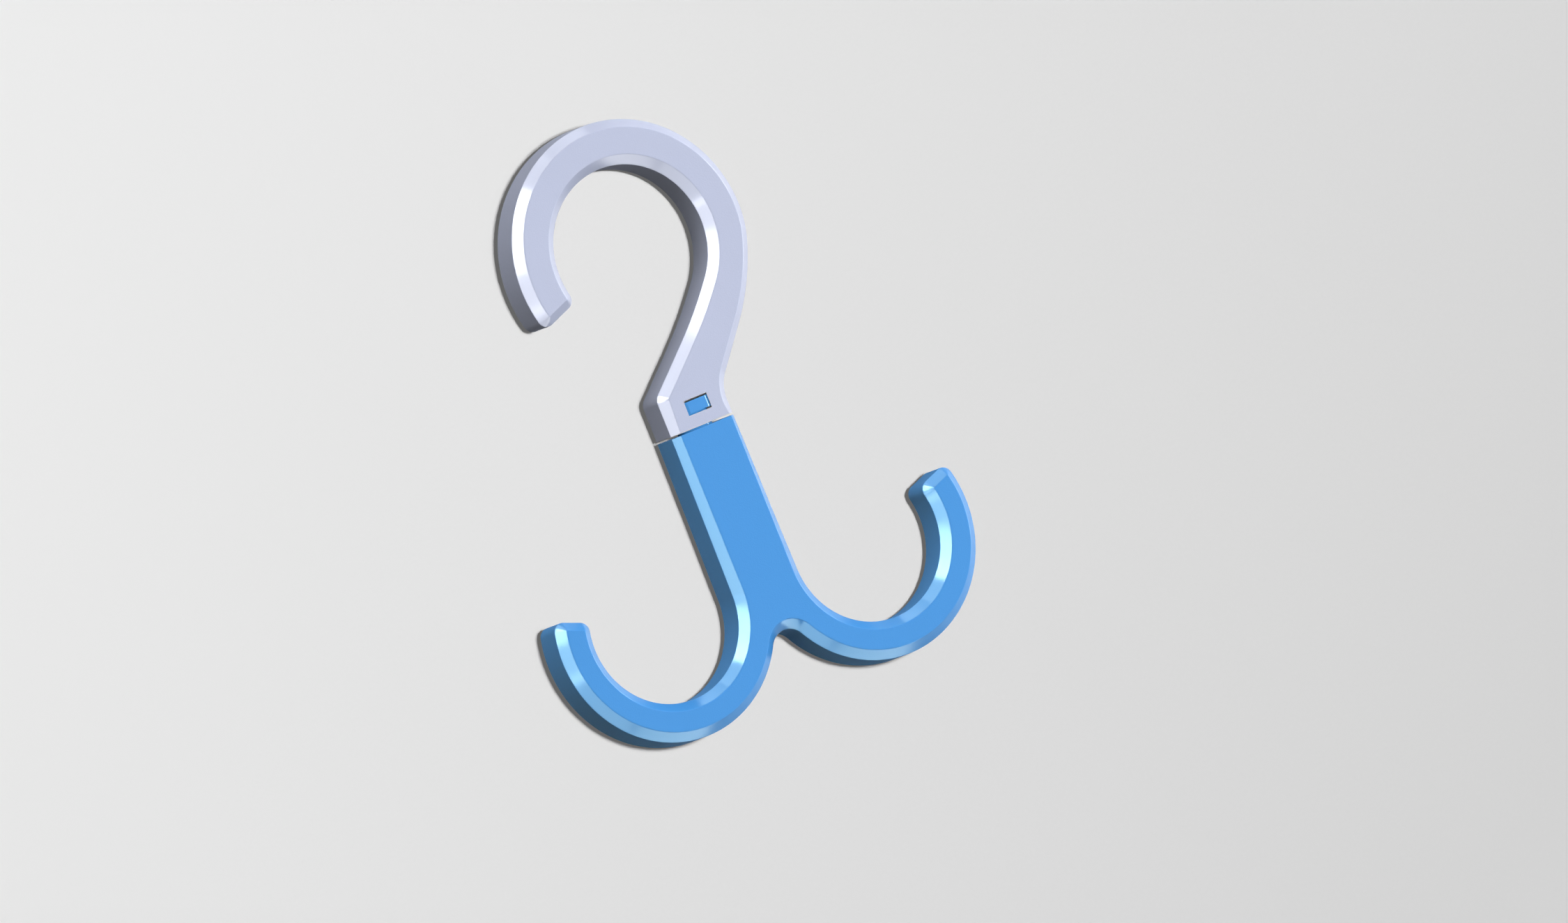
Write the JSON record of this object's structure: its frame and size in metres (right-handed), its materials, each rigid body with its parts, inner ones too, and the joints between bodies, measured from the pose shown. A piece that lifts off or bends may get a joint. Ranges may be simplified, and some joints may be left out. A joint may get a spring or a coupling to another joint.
{
  "type": "swivel s-hook",
  "caption": "Flat plastic swivel S-hook: a large rail hook whose neck holds a captive disc swivel, above a stem that ends in a mirrored double hook, with chamfered edges.",
  "frame": {"origin": "centre of the outline's bounding box, on the plane of the back faces", "axes": "+Y along the swivel's axis towards the upper hook, +Z from the back faces to the front faces, +X to the right of the front view"},
  "size_m": [0.0786, 0.0988, 0.0084],
  "materials": {
    "lavender_grey_plastic": "satin, pale lavender-grey",
    "sky_blue_plastic": "satin, sky blue"
  },
  "bodies": {
    "rail_hook": {"upper_hook": "lavender_grey_plastic"},
    "swinging_hooks": {"double_hook": "sky_blue_plastic"}
  },
  "joints": [
    {"name": "swivel", "type": "hinge", "parent": "rail_hook", "child": "swinging_hooks", "pos_m": [0, -0.0027, 0.00422], "axis": [0, 1, 0], "continuous": true}
  ]
}
